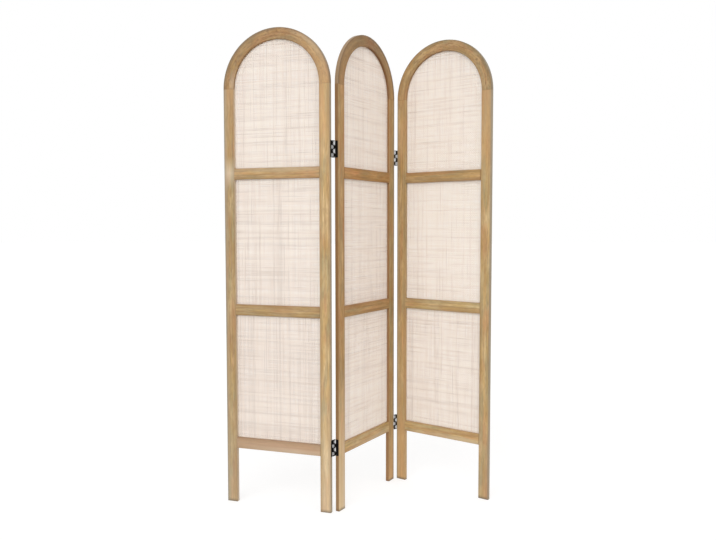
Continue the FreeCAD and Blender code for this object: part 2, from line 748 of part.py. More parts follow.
def make_hinge(level, side, panels, link):
    """One hinge between the middle panel and a side panel."""
    label = f"{level}_{side}_hinge"
    facing = {"left": "right", "right": "left"}[side]
    make_leaf(f"{label}_side_leaf", panels[side].multiply(leaf_place(side, facing, level)))
    make_leaf(f"{label}_middle_leaf", panels["middle"].multiply(leaf_place("middle", side, level)))
    height = place(ORIGIN, ORIGIN, HINGE_HEIGHTS[level])
    make_links(f"{label}_links", height.multiply(link))
    make_pins(f"{label}_pins", height.multiply(link))


def check_document():
    """Stop if anything in the document failed or a piece is not sound."""
    for thing in doc.Objects:
        if "Invalid" in thing.State or "Error" in thing.State:
            raise RuntimeError(f"{thing.Label} failed: {thing.State}")
    for node in nodes:
        if node.Shape.isNull() or not node.Shape.isValid():
            raise RuntimeError(f"{node.Label} has no sound shape")


def report_axes(panels, links):
    """Print the pin axes and the feet in the row's frame."""
    for side, link in links.items():
        far_pin = link.multVec(ACROSS * dim["pin_spacing"].value)
        print(f"{side} hinge, middle panel's pin {tuple(link.Base)}, side panel's pin {tuple(far_pin)}")
    for name, panel in panels.items():
        feet = [panel.multVec(place(across_panel(side, STILE / 2), MID_DEPTH, ORIGIN).Base) for side in SIDES]
        print(f"{name} panel, feet {[tuple(foot) for foot in feet]}")


def main():
    panels, links = fold_screen()
    for name in PANELS:
        make_panel(name, panels[name])
    for side in SIDES:
        for level in LEVELS:
            make_hinge(level, side, panels, links[side])
    doc.recompute()
    check_document()
    report_axes(panels, links)
    os.makedirs("parts", exist_ok=True)
    for node in nodes:
        node.Shape.exportStep(os.path.join("parts", f"{node.Label}.step"))
    print(f"{len(nodes)} nodes")


main()
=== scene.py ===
"""Looks of a folding room divider: arched wooden frames, woven rattan sheets and black two-pin hinges.

A panel is dressed in its own frame: x across it from the left edge, y from the front face to the back, z up.
All lengths are metres.
"""
import json
import logging
import math
import random
from dataclasses import dataclass, field, replace
from enum import Enum
from typing import Any, Iterable, Sequence

import bmesh
import bpy
from mathutils import Color, Euler, Matrix, Vector

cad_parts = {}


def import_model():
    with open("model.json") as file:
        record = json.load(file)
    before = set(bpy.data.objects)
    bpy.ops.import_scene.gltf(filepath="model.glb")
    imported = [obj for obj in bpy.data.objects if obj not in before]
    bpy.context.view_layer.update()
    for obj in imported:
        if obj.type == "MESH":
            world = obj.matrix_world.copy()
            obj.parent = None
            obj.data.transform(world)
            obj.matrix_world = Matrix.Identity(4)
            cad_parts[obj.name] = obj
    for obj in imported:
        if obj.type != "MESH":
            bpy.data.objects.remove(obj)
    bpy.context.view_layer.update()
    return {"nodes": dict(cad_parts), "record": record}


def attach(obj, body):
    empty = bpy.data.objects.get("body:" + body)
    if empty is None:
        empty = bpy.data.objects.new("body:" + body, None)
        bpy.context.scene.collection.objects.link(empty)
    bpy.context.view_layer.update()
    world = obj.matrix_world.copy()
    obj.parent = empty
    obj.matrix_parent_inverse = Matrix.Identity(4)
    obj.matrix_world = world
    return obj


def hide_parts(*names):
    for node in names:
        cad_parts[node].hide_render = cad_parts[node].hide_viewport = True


frame: dict[str, Any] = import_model()

LOG = logging.getLogger("room_divider")
Colour = tuple[float, float, float, float]
Material = bpy.types.Material
Mesh = bpy.types.Mesh
Node = bpy.types.Node
Piece = bpy.types.Object
Shape = bmesh.types.BMesh
Socket = bpy.types.NodeSocket

PANEL_NAMES = ("left", "middle", "right")
BAY_NAMES = ("bottom", "middle", "top")
RAIL_NAMES = ("lower", "middle", "upper")
HINGE_NAMES = ("upper_left", "lower_left", "upper_right", "lower_right")
STILE_WIDTH = 0.040
PANEL_THICKNESS = 0.015
# Width of the painted shadow in the open joint at one rail's end.
OPEN_JOINT_SHADOW_WIDTH = 0.004
ARCH_NUMBER = 10
ARCH_SHORTNESS = 2.0
ARCH_FLECKS = 2.2
PANEL_SHIFT = 5.37
MEMBER_SHIFT = 1.73
EDGE = 0.5  # a member's long edge, in widths from its middle line
FULL_BYTE = 255
WHITE = (1.0, 1.0, 1.0, 1.0)


class Grain(Enum):
    """Which way the fibres of a wooden member run: degrees from upright, in the plane of its panel."""

    UPRIGHT = 0.0
    LEVEL = 90.0


class Run(Enum):
    """The two ways a strand can run through the weave, as directions in the panel's frame."""

    WARP = (0.0, 0.0, 1.0)
    WEFT = (1.0, 0.0, 0.0)


def srgb(red: int, green: int, blue: int) -> Colour:
    """A colour as a picture shows it, as the linear colour that a shader takes.

    Args:
        red: Red from 0 to 255.
        green: Green from 0 to 255.
        blue: Blue from 0 to 255.

    Returns:
        The linear colour with full alpha.
    """
    linear = Color([value / FULL_BYTE for value in (red, green, blue)]).from_srgb_to_scene_linear()
    return (linear.r, linear.g, linear.b, 1.0)


def shaded(colour: Colour, tone: float, warmth: float = 0.0) -> Colour:
    """A colour made lighter or darker, and warmer or cooler.

    Args:
        colour: The linear colour.
        tone: What to multiply it by.
        warmth: The share of its blue that is taken out, with half as much of its green.

    Returns:
        The new colour.
    """
    red, green, blue, alpha = colour
    return (red * tone, green * tone * (1.0 - warmth / 2), blue * tone * (1.0 - warmth), alpha)


@dataclass(frozen=True)
class Ramp:
    """How a factor is stretched: two of its values and what they become, held at the ends."""

    low: float
    high: float
    to_low: float = 0.0
    to_high: float = 1.0


class ShaderTree:
    """The nodes of a new material or world, with short calls that add a node and join it to others."""

    MIX_INPUTS = (0, 6, 7)  # a colour mix's factor and its two colours
    MIX_RESULT = 2

    def __init__(self, owner: Material | bpy.types.World) -> None:
        """Start an empty tree with an output.

        Args:
            owner: What the nodes belong to.
        """
        owner.use_nodes = True
        self.owner = owner
        self.tree = owner.node_tree
        self.tree.nodes.clear()
        self.output = self.add("OutputWorld" if isinstance(owner, bpy.types.World) else "OutputMaterial")

    def add(self, kind: str, settings: dict[str, Any] | None = None, values: Sequence[Any] = (),
            **inputs: Any) -> Node:
        """Add a node.

        Args:
            kind: The node's type without its ShaderNode prefix.
            settings: Properties of the node itself.
            values: Sockets to join or plain values to set, in the order of the node's inputs.
            inputs: The same by the input's name, with spaces as underscores.

        Returns:
            The node.
        """
        node = self.tree.nodes.new("ShaderNode" + kind)
        for name, value in (settings or {}).items():
            setattr(node, name, value)
        for socket, value in zip(node.inputs, values):
            self.feed(socket, value)
        for name, value in inputs.items():
            self.feed(node.inputs[name.replace("_", " ")], value)
        return node

    def feed(self, socket: Socket, value: Any) -> None:
        """Join a socket to another, or set its plain value.

        Args:
            socket: The input socket.
            value: An output socket or a plain value.
        """
        if isinstance(value, Socket):
            self.tree.links.new(value, socket)
        else:
            socket.default_value = value

    def math(self, operation: str, first: Any, second: Any = 0.0) -> Socket:
        """The result of one sum, whose terms are sockets or numbers."""
        return self.add("Math", {"operation": operation}, (first, second)).outputs[0]

    def apart(self, first: Socket, second: float) -> Socket:
        """How far a number lies from another."""
        return self.math("ABSOLUTE", self.math("SUBTRACT", first, second))

    def noise(self, vector: Socket, scale: float, detail: float) -> Socket:
        """Cloudy variation from 0 to 1, with so many clouds to a unit and so many finer layers."""
        return self.add("TexNoise", Vector=vector, Scale=scale, Detail=detail).outputs[0]

    def spread(self, factor: Socket, ramp: Ramp) -> Socket:
        """A factor stretched from one range to another."""
        return self.add("MapRange", Value=factor, From_Min=ramp.low, From_Max=ramp.high,
                        To_Min=ramp.to_low, To_Max=ramp.to_high).outputs[0]

    def parts(self, vector: Socket) -> Sequence[Socket]:
        """The three numbers of a place."""
        return self.add("SeparateXYZ", Vector=vector).outputs

    def scaled(self, vector: Socket, scale: Sequence[float],
               shift: Sequence[float] = (0.0, 0.0, 0.0)) -> Socket:
        """Places drawn out and moved, each of their numbers by its own scale and shift."""
        return self.add("VectorMath", {"operation": "MULTIPLY_ADD"}, (vector, scale, shift)).outputs[0]

    def blend(self, factor: Any, first: Any, second: Any) -> Socket:
        """Mix two colours.

        Args:
            factor: How much of the second.
            first: A socket or a colour.
            second: A socket or a colour.

        Returns:
            The mixed colour.
        """
        node = self.add("Mix", {"data_type": "RGBA"})
        for place, value in zip(self.MIX_INPUTS, (factor, first, second)):
            self.feed(node.inputs[place], value)
        return node.outputs[self.MIX_RESULT]

    def coats(self, colour: Any, *layers: tuple[Socket, Ramp, Colour]) -> Socket:
        """Lay colours over a colour, one after the other.

        Args:
            colour: The colour underneath.
            layers: Each coat's factor, how the factor is stretched, and its colour.

        Returns:
            The colour on top.
        """
        for factor, ramp, paint in layers:
            colour = self.blend(self.spread(factor, ramp), colour, paint)
        return colour

    def surface(self, relief: tuple[float, float], height: Socket, **inputs: Any) -> Material:
        """Finish the material with a raised surface.

        Args:
            relief: How much of the height shows, and what a height of 1 is worth.
            height: The height.
            inputs: The surface's other inputs.

        Returns:
            The material.
        """
        strength, depth = relief
        normal = self.add("Bump", Height=height, Strength=strength, Distance=depth).outputs[0]
        return self.finish(self.add("BsdfPrincipled", Normal=normal, **inputs))

    def finish(self, shader: Node) -> Material | bpy.types.World:
        """Join the last shader to the output and hand over what the nodes belong to."""
        self.feed(self.output.inputs["Surface"], shader.outputs[0])
        return self.owner


@dataclass(frozen=True)
class Tint:
    """Another colour of the timber near one place along a member, all across it or on one side (-1 or 1)."""

    colour: Colour
    share: float
    reach: float
    place: float = 0.0
    side: float = 0.0


@dataclass(frozen=True)
class Board:
    """The board that a member was cut from: how light and warm it is, its tints, its edges, and the painted
    light and shade on its side faces.
    """

    tone: float = 1.0
    warmth: float = 0.0
    tints: tuple[Tint, ...] = ()
    # The side colour and its share are painted light and shade on the faces turned sideways from the front.
    side: Colour = srgb(142, 94, 48)
    side_shading_share: float = 0.3
    shade_share: float = 0.35
    worn_share: float = 0.0
    rim: Ramp = Ramp(0.37, EDGE, 0.0, 0.65)
    # A wider dark line at the rail's right end: painted shadow in a slightly open joint.
    shadowed_open_end: bool = False


@dataclass(frozen=True)
class Member:
    """A wooden member of a panel: where its middle line runs and which board it was cut from."""

    piece: str
    centre: Vector
    seed: float
    board: Board
    grain: Grain = Grain.UPRIGHT
    bend: float = 0.0
    seams: tuple[float, ...] = ()
    seam_width: float = 0.0012
    outwards: float = 0.0
    shortness: float = 1.0
    flecks: float = 1.0
    ends: tuple[Tint, ...] = ()

    def places(self, tree: ShaderTree, panel: "Panel") -> Socket:
        """Places on the member: x across its face from the middle line, y front to back, z along the fibres.

        Args:
            tree: The tree to add to.
            panel: The panel, whose place and heading turn the pattern.

        Returns:
            The places, in metres.
        """
        place = tree.add("TexCoord").outputs["Object"]
        turn = Euler((0.0, math.radians(self.grain.value), panel.heading))
        local = tree.add("Mapping", {"vector_type": "TEXTURE"}, Vector=place, Rotation=turn,
                         Location=panel.matrix @ self.centre).outputs[0]
        if not self.bend:
            return local
        x, y, z = tree.parts(local)
        square = tree.math("ADD", tree.math("MULTIPLY", x, x), tree.math("MULTIPLY", z, z))
        aside = tree.math("SUBTRACT", tree.math("SQRT", square), self.bend)
        along = tree.math("MULTIPLY", tree.math("ARCTAN2", x, z), self.bend)
        return tree.add("CombineXYZ", X=aside, Y=y, Z=along).outputs[0]


@dataclass(frozen=True)
class Figure:
    """One scale of the wood's figure: how wide it is, how much longer, how finely broken and how strong."""

    width: float
    stretch: float
    detail: float
    ramp: Ramp

    def drawn(self, tree: ShaderTree, place: Socket, member: Member) -> Socket:
        """Places on a member drawn out along the fibres, moved so that each board has a figure of its own."""
        shrink = (1.0, 1.0, member.shortness / self.stretch)
        return tree.scaled(place, shrink, (member.seed, -member.seed, member.seed * 2))

    def clouds(self, tree: ShaderTree, place: Socket, member: Member) -> Socket:
        """The figure on a member, as a factor from 0 to 1."""
        return tree.noise(self.drawn(tree, place, member), 1.0 / self.width, self.detail)


@dataclass(frozen=True)
class WoodFinish:
    """Satin stained hardwood: lanes of colour, fibres with a painted glint, growth bands, pores, worn edges,
    glue lines and painted light and shade on the sides.
    """

    name: str
    pale: Colour
    honey: Colour
    gold: Colour
    olive: Colour
    dark: Colour
    shade: Colour
    worn: Colour
    rim: Colour
    roughness: float = 0.55
    patches: Figure = Figure(0.05, 3.0, 2.0, Ramp(0.44, 0.56))
    lights: Figure = Figure(0.03, 3.0, 3.0, Ramp(0.42, 0.68, 0.0, 0.9))
    glows: Figure = Figure(0.009, 9.0, 1.0, Ramp(0.46, 0.6, 0.0, 0.6))
    lanes: Figure = Figure(0.016, 18.0, 1.0, Ramp(0.5, 0.68, 0.0, 0.3))
    flecks: Figure = Figure(0.0045, 5.0, 1.0, Ramp(0.5, 0.7, 0.0, 0.36))
    streaks: Figure = Figure(0.007, 40.0, 3.0, Ramp(0.45, 0.72, 0.0, 0.55))
    # The fibres' ramp lays pale along them as a painted glint; the same clouds make the pores.
    fibres: Figure = Figure(0.0011, 40.0, 2.0, Ramp(0.46, 0.36, 0.0, 0.35))
    bands_per_metre: float = 24.0
    band_distortion: float = 8.0
    band_detail: float = 2.0
    band_ramp: Ramp = Ramp(0.55, 1.0, 0.0, 0.2)
    pore_ramp: Ramp = Ramp(0.55, 0.68, 0.0, 0.5)
    rough_ramp: Ramp = Ramp(0.3, 0.7, -0.07, 0.07)
    shade_from: float = 0.12
    worn_from: float = 0.1
    tint_from: float = 0.3
    # Side faces take painted light and shade between these two facings.
    side_shading_from: float = 0.15
    side_shading_to: float = 0.85
    seam_share: float = 0.45
    relief: tuple[float, float] = (0.25, 0.0004)

    def material(self, panel: "Panel", member: Member) -> Material:
        """The finish of one member.

        Args:
            panel: The panel that it belongs to.
            member: The member.

        Returns:
            The material.
        """
        board = member.board
        pale, honey, gold, olive, dark = (
            shaded(colour, board.tone, board.warmth)
            for colour in (self.pale, self.honey, self.gold, self.olive, self.dark))
        tree = ShaderTree(bpy.data.materials.new(f"{self.name}_{panel.name}_{member.piece}"))
        place = member.places(tree, panel)
        aside, _, along = tree.parts(place)
        patch, light, glow, lane, fleck, streak, fibre = (
            figure.clouds(tree, place, member) for figure in (
                self.patches, self.lights, self.glows, self.lanes, self.flecks, self.streaks, self.fibres))
        band = tree.add("TexWave", {"wave_type": "BANDS", "bands_direction": "X"}, Detail=self.band_detail,
                        Vector=self.fibres.drawn(tree, place, member), Scale=self.bands_per_metre,
                        Distortion=self.band_distortion).outputs["Fac"]
        hue = tree.math("DIVIDE", tree.math("ADD", patch, lane), 2.0)
        fleck_ramp = replace(self.flecks.ramp, to_high=self.flecks.ramp.to_high * member.flecks)
        colour = tree.coats(
            olive, (hue, self.patches.ramp, honey), (light, self.lights.ramp, pale),
            (glow, self.glows.ramp, gold), (lane, self.lanes.ramp, dark), (fleck, fleck_ramp, dark),
            # The pale laid along the fibres is a painted glint.
            (streak, self.streaks.ramp, dark), (band, self.band_ramp, dark), (fibre, self.fibres.ramp, pale),
            (fibre, self.pore_ramp, dark))
        for tint in board.tints + member.ends:
            share = tree.spread(tree.apart(along, tint.place), Ramp(0.0, tint.reach, tint.share, 0.0))
            if tint.side:
                beside = tree.math("MULTIPLY", aside, tint.side / STILE_WIDTH)
                share = tree.math("MULTIPLY", share, tree.spread(beside, Ramp(0.0, self.tint_from)))
            colour = tree.blend(share, colour, tint.colour)
        colour = self.edged(tree, colour, aside, panel, member)
        for seam in member.seams:
            line = Ramp(member.seam_width / 2, member.seam_width, self.seam_share, 0.0)
            colour = tree.coats(colour, (tree.apart(along, seam), line, dark))
        height = tree.math("SUBTRACT", tree.math("DIVIDE", streak, 2.0), tree.spread(fibre, self.pore_ramp))
        rough = tree.math("ADD", tree.spread(streak, self.rough_ramp), self.roughness)
        return tree.surface(self.relief, height, Base_Color=colour, Roughness=rough)

    def edged(self, tree: ShaderTree, colour: Socket, aside: Socket, panel: "Panel",
              member: Member) -> Socket:
        """Darker long edges (deeper, rubbed greyer outside, dark on the corner), and painted light and shade
        on the side faces.

        Args:
            tree: The tree to add to.
            colour: The colour so far.
            aside: How far a place lies from the member's middle line.
            panel: The panel, for its front-to-back direction.
            member: The member, for its outer side and its board.

        Returns:
            The new colour.
        """
        board = member.board
        shade, worn, rim, side = (shaded(paint, board.tone, board.warmth)
                                  for paint in (self.shade, self.worn, self.rim, board.side))
        outwards = tree.math("MULTIPLY", aside, member.outwards / STILE_WIDTH)
        inwards = tree.math("MULTIPLY", aside, -member.outwards / STILE_WIDTH)
        if member.bend or not member.outwards:
            inwards = tree.math("DIVIDE", tree.math("ABSOLUTE", aside), STILE_WIDTH)
        # How far a face turns sideways from the front, for the painted light and shade on the side faces.
        settings = {"vector_type": "NORMAL", "convert_from": "WORLD", "convert_to": "OBJECT"}
        normal = tree.add("NewGeometry").outputs["Normal"]
        normal = tree.add("VectorTransform", settings, Vector=normal).outputs[0]
        facing = tree.add("VectorMath", {"operation": "DOT_PRODUCT"}, (normal, panel.depth)).outputs["Value"]
        return tree.coats(
            colour, (inwards, Ramp(self.shade_from, EDGE, 0.0, board.shade_share), shade),
            (outwards, Ramp(self.worn_from, EDGE, 0.0, board.worn_share), worn), (outwards, board.rim, rim),
            (tree.math("ABSOLUTE", facing), Ramp(self.side_shading_from, self.side_shading_to, board.side_shading_share, 0.0), side))


@dataclass(frozen=True)
class RattanFinish:
    """Pale peeled strands, some of them tan, with fibres along each one and long slubs of colour."""

    name: str
    pale: Colour
    cream: Colour
    tan: Colour
    roughness: float = 0.62
    fibre_rate: tuple[float, float, float] = (5.0, 7.31, 55.0)
    fibre_detail: float = 2.0
    slub_rate: tuple[float, float, float] = (0.0, 3.17, 9.0)
    slub_detail: float = 1.0
    slub_ramp: Ramp = Ramp(0.3, 0.7, 0.35, 1.3)
    fibre_ramp: Ramp = Ramp(0.3, 0.75, -0.16, 0.16)
    pale_ramp: Ramp = Ramp(0.0, 0.5)
    tan_ramp: Ramp = Ramp(0.5, 1.0)
    relief: tuple[float, float] = (0.3, 0.0002)

    def material(self) -> Material:
        """The finish of every woven sheet.

        Returns:
            The material, which reads the strands' own attributes.
        """
        tree = ShaderTree(bpy.data.materials.new(self.name))
        place, tone, painted_shading = (
            tree.add("Attribute", {"attribute_name": name}).outputs[kind]
            for name, kind in (("strand_place", "Vector"), ("strand_tone", "Fac"), ("sheet_painted_shading", "Fac")))
        fibre = tree.noise(tree.scaled(place, self.fibre_rate), 1.0, self.fibre_detail)
        slub = tree.noise(tree.scaled(place, self.slub_rate), 1.0, self.slub_detail)
        shade = tree.math("MULTIPLY", tone, tree.spread(slub, self.slub_ramp))
        shade = tree.math("ADD", shade, tree.spread(fibre, self.fibre_ramp))
        # Add each sheet's painted light and shade.
        shade = tree.math("ADD", shade, painted_shading)
        colour = tree.coats(self.pale, (shade, self.pale_ramp, self.cream), (shade, self.tan_ramp, self.tan))
        return tree.surface(self.relief, fibre, Base_Color=colour, Roughness=self.roughness)


@dataclass(frozen=True)
class MetalFinish:
    """Blackened metal with a little unevenness and rubbed spots."""

    name: str
    coat: Colour
    rubbed: Colour
    roughness: float
    metallic: float
    shine: float = 0.5
    mottles_per_metre: float = 900.0
    mottle_detail: float = 3.0
    scuffs_per_metre: float = 260.0
    scuff_detail: float = 4.0
    scuff_ramp: Ramp = Ramp(0.58, 0.75, 0.0, 0.7)
    rough_ramp: Ramp = Ramp(0.3, 0.7, -0.08, 0.08)
    relief: tuple[float, float] = (0.12, 0.0001)

    def material(self) -> Material:
        """The finish of a hinge piece, a pin or a screw.

        Returns:
            The material.
        """
        tree = ShaderTree(bpy.data.materials.new(self.name))
        place = tree.add("TexCoord").outputs["Object"]
        mottle = tree.noise(place, self.mottles_per_metre, self.mottle_detail)
        scuff = tree.noise(place, self.scuffs_per_metre, self.scuff_detail)
        colour = tree.coats(self.coat, (scuff, self.scuff_ramp, self.rubbed))
        rough = tree.math("ADD", tree.spread(mottle, self.rough_ramp), self.roughness)
        return tree.surface(self.relief, mottle, Base_Color=colour, Roughness=rough, Metallic=self.metallic,
                            Specular_IOR_Level=self.shine)


FRAME_WOOD = WoodFinish(
    "frame_wood", pale=srgb(210, 180, 130), honey=srgb(196, 148, 98), gold=srgb(188, 150, 84),
    olive=srgb(162, 145, 104), dark=srgb(134, 102, 62), shade=srgb(136, 106, 68), worn=srgb(156, 144, 124),
    rim=srgb(116, 108, 90))
BEAD_WOOD = WoodFinish(
    "bead_wood", pale=srgb(196, 164, 120), honey=srgb(182, 144, 102), gold=srgb(176, 140, 88),
    olive=srgb(170, 140, 96), dark=srgb(134, 100, 62), shade=srgb(134, 100, 62), worn=srgb(156, 144, 124),
    rim=srgb(116, 106, 84))
DOWEL_WOOD = WoodFinish(
    "dowel_wood", pale=srgb(232, 208, 168), honey=srgb(222, 194, 150), gold=srgb(220, 192, 140),
    olive=srgb(214, 190, 146), dark=srgb(190, 156, 110), shade=srgb(196, 164, 120), worn=srgb(214, 190, 146),
    rim=srgb(196, 164, 120))
RATTAN = RattanFinish(
    "woven_rattan", pale=srgb(255, 245, 233), cream=srgb(246, 232, 220), tan=srgb(228, 214, 202))
HINGE_BLACK = MetalFinish(
    "hinge_black", coat=srgb(12, 8, 6), rubbed=srgb(38, 31, 27), roughness=0.45, metallic=0.0, shine=0.12)
PIN_STEEL = MetalFinish(
    "pin_steel", coat=srgb(46, 44, 42), rubbed=srgb(96, 92, 86), roughness=0.34, metallic=1.0)
SCREW_STEEL = MetalFinish(
    "screw_steel", coat=srgb(40, 38, 36), rubbed=srgb(104, 100, 94), roughness=0.38, metallic=1.0)

PALE_TIMBER = srgb(224, 206, 180)
STRAW_TIMBER = srgb(222, 198, 156)
HONEY_TIMBER = srgb(222, 180, 128)
ROSE_TIMBER = srgb(176, 145, 122)
COPPER_TIMBER = srgb(180, 132, 92)
ARCH_TIMBER = srgb(188, 148, 104)
DARK_TIMBER = srgb(136, 106, 64)
OLIVE_TIMBER = srgb(144, 124, 78)
GREY_TIMBER = srgb(160, 146, 122)
# Painted light and shade for side faces: paler where the sides are lit, olive-brown where they are in shade.
PALE_SIDE_SHADING = srgb(226, 204, 176)
OLIVE_SIDE_SHADING = srgb(128, 92, 50)
UPPER_JOINT = 1.20  # heights on a stile
STILE_TOP = 1.40
ARCH_FOOT = 1.4975
SPRINGING = 0.287  # lengths along an arch's middle line from the crown
NEAR_SPRINGING = 0.26
WIDE_RIM = Ramp(0.2, EDGE, 0.0, 0.75)
NO_RIM = Ramp(0.4, EDGE, 0.0, 0.0)
# Paler along the lower rails' bottom edges: painted light from the floor.
LIT_FROM_BELOW = (Tint(PALE_TIMBER, 0.4, 0.25, 0.07, side=1.0),)
# Darker over the lowest 12 mm of each stile.
DARK_FOOT_ENDS = Tint(srgb(92, 84, 70), 0.85, 0.012)
PLAIN_BOARD = Board(side=srgb(150, 112, 74), shade_share=0.0)
BOARDS = {
    "left_left_stile": Board(
        tone=0.86, warmth=-0.06, side=PALE_SIDE_SHADING, side_shading_share=0.7, worn_share=0.75,
        # The pale near the foot is painted light from the floor.
        tints=(Tint(PALE_TIMBER, 0.2, 0.4), Tint(PALE_TIMBER, 0.5, 0.06, UPPER_JOINT),
               Tint(ARCH_TIMBER, 0.5, 0.12, ARCH_FOOT))),
    "left_right_stile": Board(
        tone=1.07, warmth=-0.05, side=GREY_TIMBER, side_shading_share=0.8, shade_share=0.6,
        # The pale near the foot is painted light from the floor.
        tints=(Tint(PALE_TIMBER, 0.4, 0.55), Tint(HONEY_TIMBER, 0.4, 0.25, STILE_TOP),
               Tint(DARK_TIMBER, 0.6, 0.25, STILE_TOP, side=1.0))),
    "left_left_arch": Board(
        tone=0.76, warmth=0.18, shade_share=0.1, rim=WIDE_RIM,
        tints=(Tint(DARK_TIMBER, 0.65, 0.2, -SPRINGING / 2, side=1.0),
               Tint(PALE_TIMBER, 0.3, 0.05, -NEAR_SPRINGING, side=-1.0))),
    "left_right_arch": Board(
        tone=0.78, warmth=0.16, side=GREY_TIMBER, side_shading_share=0.5,
        tints=(Tint(HONEY_TIMBER, 0.32, 0.25, SPRINGING),
               Tint(PALE_TIMBER, 0.25, 0.12, SPRINGING / 2, side=1.0))),
    "left_lower_rail": Board(tone=0.86, tints=(Tint(ROSE_TIMBER, 0.7, 1.0), *LIT_FROM_BELOW)),
    "left_middle_rail": Board(tone=0.86),
    "left_upper_rail": Board(tone=0.90, tints=(Tint(PALE_TIMBER, 0.3, 0.3, 0.05, side=-1.0),)),
    "middle_left_stile": Board(
        tone=0.90, warmth=0.14, side=OLIVE_SIDE_SHADING, side_shading_share=0.75, rim=NO_RIM,
        # The straw and pale near the foot are painted light from the floor.
        tints=(Tint(STRAW_TIMBER, 0.8, 0.55), Tint(PALE_TIMBER, 0.6, 0.45, side=1.0))),
    "middle_right_stile": Board(
        tone=0.93, warmth=-0.04, side_shading_share=0.7, worn_share=0.65,
        tints=(Tint(HONEY_TIMBER, 0.6, 0.35), Tint(HONEY_TIMBER, 0.2, 0.3, STILE_TOP))),
    "middle_left_arch": Board(
        tone=0.64, warmth=0.34, side=PALE_SIDE_SHADING, side_shading_share=0.4,
        tints=(Tint(OLIVE_TIMBER, 0.3, 0.3, -SPRINGING / 2), Tint(HONEY_TIMBER, 0.15, 0.25, -SPRINGING),
               Tint(DARK_TIMBER, 0.7, 0.3, -SPRINGING, side=1.0))),
    "middle_right_arch": Board(
        tone=0.64, warmth=0.36, side_shading_share=0.6, shade_share=0.5, rim=WIDE_RIM,
        tints=(Tint(OLIVE_TIMBER, 0.5, 0.28, SPRINGING), Tint(HONEY_TIMBER, 0.35, 0.2, SPRINGING))),
    "middle_lower_rail": Board(tone=1.18, warmth=-0.10, tints=LIT_FROM_BELOW),
    "middle_middle_rail": Board(tone=0.90, warmth=0.15),
    "middle_upper_rail": Board(tone=0.91, warmth=0.32),
    "right_left_stile": Board(
        tone=1.0, warmth=-0.05, side_shading_share=0.0, worn_share=0.45,
        tints=(Tint(HONEY_TIMBER, 0.5, 0.95), Tint(HONEY_TIMBER, 0.25, 0.2, STILE_TOP))),
    "right_right_stile": Board(
        tone=1.0, warmth=-0.08, side=GREY_TIMBER, side_shading_share=0.5, shade_share=0.15, worn_share=0.15,
        tints=(Tint(GREY_TIMBER, 0.4, 0.5, side=-1.0), Tint(ARCH_TIMBER, 0.65, 0.4, ARCH_FOOT),
               Tint(DARK_TIMBER, 0.25, 0.06, ARCH_FOOT), Tint(COPPER_TIMBER, 0.7, 0.4, side=1.0))),
    "right_left_arch": Board(tone=0.84, warmth=0.08, tints=(Tint(HONEY_TIMBER, 0.35, 0.12, -SPRINGING),)),
    "right_right_arch": Board(tone=0.83, side=GREY_TIMBER, side_shading_share=0.5),
    "right_lower_rail": Board(tone=1.08, warmth=-0.12, tints=LIT_FROM_BELOW),
    "right_middle_rail": Board(tone=0.99, warmth=-0.15),
    "right_upper_rail": Board(tone=0.88, warmth=0.08, shadowed_open_end=True),
}


@dataclass(frozen=True)
class SheetShading:
    """How much darker a sheet is painted than plain rattan, at its foot and at its top: painted light and
    shade that stands in for the light on its bay.
    """

    foot: float
    top: float


# Painted light and shade of each sheet, standing in for the light that falls on its bay.
SHEET_SHADING = {
    "left_bottom": SheetShading(0.22, 0.22),
    "left_middle": SheetShading(0.16, -0.12),
    "left_top": SheetShading(-0.12, 0.0),
    "middle_bottom": SheetShading(-0.28, -0.02),
    "middle_middle": SheetShading(0.05, -0.25),
    "middle_top": SheetShading(-0.15, -0.08),
    "right_bottom": SheetShading(-0.12, -0.12),
    "right_middle": SheetShading(-0.30, -0.50),
    "right_top": SheetShading(-0.50, -0.15),
}


def dress(node: str, material: Material) -> None:
    """Give a CAD node one material in place of what it came with.

    Args:
        node: The node's name.
        material: Its new material.
    """
    mesh = frame["nodes"][node].data
    mesh.materials.clear()
    mesh.materials.append(material)


def settled(shape: Shape, name: str) -> Mesh:
    """Turn a finished shape into a mesh.

    Args:
        shape: The shape, which is used up.
        name: The mesh's name.

    Returns:
        The mesh.
    """
    mesh = bpy.data.meshes.new(name)
    shape.to_mesh(mesh)
    shape.free()
    return mesh


def placed(name: str, data: bpy.types.ID) -> Piece:
    """Put a mesh, a lamp or a camera into the scene.

    Args:
        name: The new object's name.
        data: What it shows.

    Returns:
        The object.
    """
    piece = bpy.data.objects.new(name, data)
    bpy.context.scene.collection.objects.link(piece)
    return piece


def new_piece(mesh: Mesh, material: Material, body: str) -> Piece:
    """Put a finished mesh into the scene as a piece that moves with a body.

    Args:
        mesh: The piece's mesh, already in place, whose name it takes.
        material: Its finish.
        body: The body that carries it.

    Returns:
        The piece.
    """
    mesh.materials.append(material)
    piece = placed(mesh.name, mesh)
    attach(piece, body)
    LOG.info("%s: %d faces on %s", mesh.name, len(mesh.polygons), body)
    return piece


def repeated(name: str, pattern: Mesh, places: Iterable[Matrix]) -> Mesh:
    """Many copies of a small mesh as one mesh.

    Args:
        name: The new mesh's name.
        pattern: The mesh to repeat, which is used up.
        places: Where each copy goes.

    Returns:
        The joined mesh.
    """
    whole = bmesh.new()
    for place in places:
        copy = pattern.copy()
        copy.transform(place)
        whole.from_mesh(copy)
        bpy.data.meshes.remove(copy)
    bpy.data.meshes.remove(pattern)
    return settled(whole, name)


def spaced(low: float, high: float, pitch: float) -> list[float]:
    """Evenly spaced places from one end to the other, both included.

    Args:
        low: The first place.
        high: The last place.
        pitch: About how far apart they are.

    Returns:
        The places.
    """
    steps = max(round((high - low) / pitch), 1)
    return [low + (high - low) * step / steps for step in range(steps + 1)]


def corners(points: Iterable[Vector]) -> tuple[Vector, Vector]:
    """The corners of the box round some points.

    Args:
        points: The points.

    Returns:
        The lowest and the highest corner.
    """
    axes = list(zip(*points))
    return Vector([min(axis) for axis in axes]), Vector([max(axis) for axis in axes])


